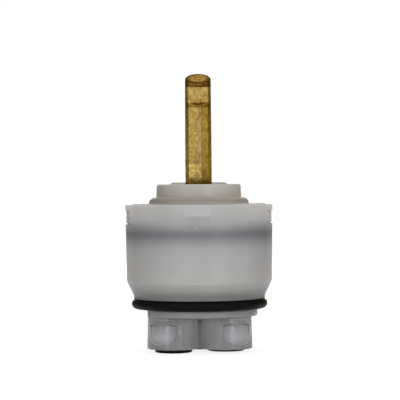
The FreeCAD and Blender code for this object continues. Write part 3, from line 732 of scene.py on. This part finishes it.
def gate_mark(material):
    """Low round nub that the mould's gate left on the cup's front."""
    mesh = bpy.data.meshes.new("gate_mark")
    nub = bmesh.new()
    bmesh.ops.create_uvsphere(nub, u_segments=24, v_segments=12, radius=1.0)
    bmesh.ops.scale(nub, vec=GATE_SIZE, verts=nub.verts)
    nub.to_mesh(mesh)
    nub.free()
    piece = link("gate_mark", mesh)
    piece.location = GATE_PLACE
    dress(mesh, material)
    shade_smooth(mesh)
    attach(piece, "housing")


def lit_by_path(tree, seen, lit):
    """Shader that shows one thing to the camera and in reflections, and lights the part with another."""
    path = tree.nodes.new("ShaderNodeLightPath")
    sees = path.outputs["Is Camera Ray"]
    for ray in ("Is Glossy Ray", "Is Transmission Ray"):
        either = tree.nodes.new("ShaderNodeMath")
        either.operation = "MAXIMUM"
        tree.links.new(sees, either.inputs[0])
        tree.links.new(path.outputs[ray], either.inputs[1])
        sees = either.outputs[0]
    mix = tree.nodes.new("ShaderNodeMixShader")
    for target, source in zip(mix.inputs, (sees, lit, seen)):
        tree.links.new(source, target)
    return mix.outputs[0]


def world():
    """White to the eye, and a soft sky that is dimmer from below for the light."""
    sky = bpy.data.worlds.new("studio")
    bpy.context.scene.world = sky
    sky.use_nodes = True
    tree = sky.node_tree
    seen = tree.nodes["Background"]
    seen.inputs[0].default_value = (1, 1, 1, 1)
    lit = tree.nodes.new("ShaderNodeBackground")
    direction = tree.nodes.new("ShaderNodeTexCoord").outputs["Generated"]
    parts = tree.nodes.new("ShaderNodeSeparateXYZ")
    height = tree.nodes.new("ShaderNodeMapRange")
    height.inputs["From Min"].default_value = -1
    ramp = tree.nodes.new("ShaderNodeValToRGB")
    elements = ramp.color_ramp.elements
    elements.new(0.5)
    for element, (position, level) in zip(elements, ((0, WORLD_BOTTOM), (0.5, WORLD_SIDE), (1, WORLD_TOP))):
        element.position = position
        element.color = (level, level, level, 1)
    tree.links.new(direction, parts.inputs[0])
    tree.links.new(parts.outputs["Z"], height.inputs["Value"])
    tree.links.new(height.outputs[0], ramp.inputs[0])
    tree.links.new(ramp.outputs[0], lit.inputs[0])
    surface = lit_by_path(tree, seen.outputs[0], lit.outputs[0])
    tree.links.new(surface, tree.nodes["World Output"].inputs[0])


def bare_tree(material):
    """Node tree of a material that keeps only its output."""
    material.use_nodes = True
    tree = material.node_tree
    tree.nodes.remove(tree.nodes["Principled BSDF"])
    return tree


def matt(tree, level):
    """Diffuse shader of a plain grey."""
    shader = tree.nodes.new("ShaderNodeBsdfDiffuse")
    shader.inputs[0].default_value = (level, level, level, 1)
    return shader.outputs[0]


def floor():
    """Pale floor that reads white where it isn't shaded."""
    mesh = bpy.data.meshes.new("floor")
    corners = [(x * FLOOR_HALF, y * FLOOR_HALF, 0) for x, y in ((-1, -1), (1, -1), (1, 1), (-1, 1))]
    mesh.from_pydata(corners, [], [(0, 1, 2, 3)])
    piece = link("floor", mesh)
    material = bpy.data.materials.new("floor_paper")
    tree = bare_tree(material)
    glow = tree.nodes.new("ShaderNodeEmission")
    glow.inputs["Strength"].default_value = FLOOR_GLOW
    both = tree.nodes.new("ShaderNodeAddShader")
    tree.links.new(matt(tree, FLOOR_DIFFUSE), both.inputs[0])
    tree.links.new(glow.outputs[0], both.inputs[1])
    surface = lit_by_path(tree, both.outputs[0], matt(tree, FLOOR_BOUNCE))
    tree.links.new(surface, tree.nodes["Material Output"].inputs[0])
    mesh.materials.append(material)


def around(distance, azimuth, height):
    """Place at a distance and azimuth from the part's axis."""
    angle = math.radians(azimuth)
    return (distance * math.cos(angle), distance * math.sin(angle), height)


def cards():
    """Dark cards beside and behind the part that only reflections see, as in a product studio."""
    material = bpy.data.materials.new("dark_card")
    tree = bare_tree(material)
    glow = tree.nodes.new("ShaderNodeEmission")
    glow.inputs[0].default_value = CARD_COLOR
    tree.links.new(glow.outputs[0], tree.nodes["Material Output"].inputs[0])
    width, height = CARD_SIZE
    for side, azimuth in zip(("left", "right"), CARD_AZIMUTHS):
        mesh = bpy.data.meshes.new(f"{side}_card")
        corners = [(u * width / 2, v * height, 0) for u, v in ((-1, 0), (1, 0), (1, 1), (-1, 1))]
        mesh.from_pydata(corners, [], [(0, 1, 2, 3)])
        mesh.materials.append(material)
        card = link(f"{side}_card", mesh)
        card.location = around(CARD_DISTANCE, azimuth, 0)
        card.rotation_euler = (math.pi / 2, 0, math.radians(azimuth) + math.pi / 2)
        card.visible_camera = False
        card.visible_diffuse = False
        card.visible_transmission = False
        card.visible_shadow = False


def lamp(name, place, power, size):
    """Rectangular lamp that shines at the part's middle."""
    light = bpy.data.lights.new(name, "AREA")
    light.shape = "RECTANGLE"
    light.size, light.size_y = size
    light.energy = power
    piece = link(name, light)
    piece.location = place
    middle = Vector((0, 0, RIM_Z / 2))
    piece.rotation_euler = (middle - Vector(place)).to_track_quat("-Z", "Y").to_euler()


def lamps():
    """Two tall lamps in front, a low one behind and one overhead."""
    sides = zip(("left", "right"), SIDE_LAMP_AZIMUTHS, SIDE_LAMP_HEIGHTS, SIDE_LAMP_POWERS)
    for side, azimuth, height, power in sides:
        lamp(f"{side}_lamp", around(SIDE_LAMP_DISTANCE, azimuth, height), power, SIDE_LAMP_SIZE)
    lamp("back_lamp", BACK_LAMP_PLACE, BACK_LAMP_POWER, BACK_LAMP_SIZE)
    lamp("top_lamp", TOP_LAMP_PLACE, TOP_LAMP_POWER, TOP_LAMP_SIZE)


def camera():
    """Camera level with the part, in front of it, with the photo's slight roll."""
    data = bpy.data.cameras.new("camera")
    data.lens = LENS_MM
    data.clip_start = NEAR_LIMIT
    eye = link("camera", data)
    place = Vector((AIM.x, -CAMERA_DISTANCE, EYE_HEIGHT))
    look = (AIM - place).to_track_quat("-Z", "Y")
    roll = Matrix.Rotation(math.radians(ROLL), 3, "Z").to_quaternion()
    eye.matrix_world = Matrix.LocRotScale(place, look @ roll, None)
    bpy.context.scene.camera = eye


camera()
world()
floor()
cards()
lamps()
materials = dress_frame()
cast_lever(materials["brass"])
gate_mark(moulded("gate_plastic", GATE_TONE, 0.01, 0.4))

bpy.context.scene.view_settings.view_transform = "Standard"
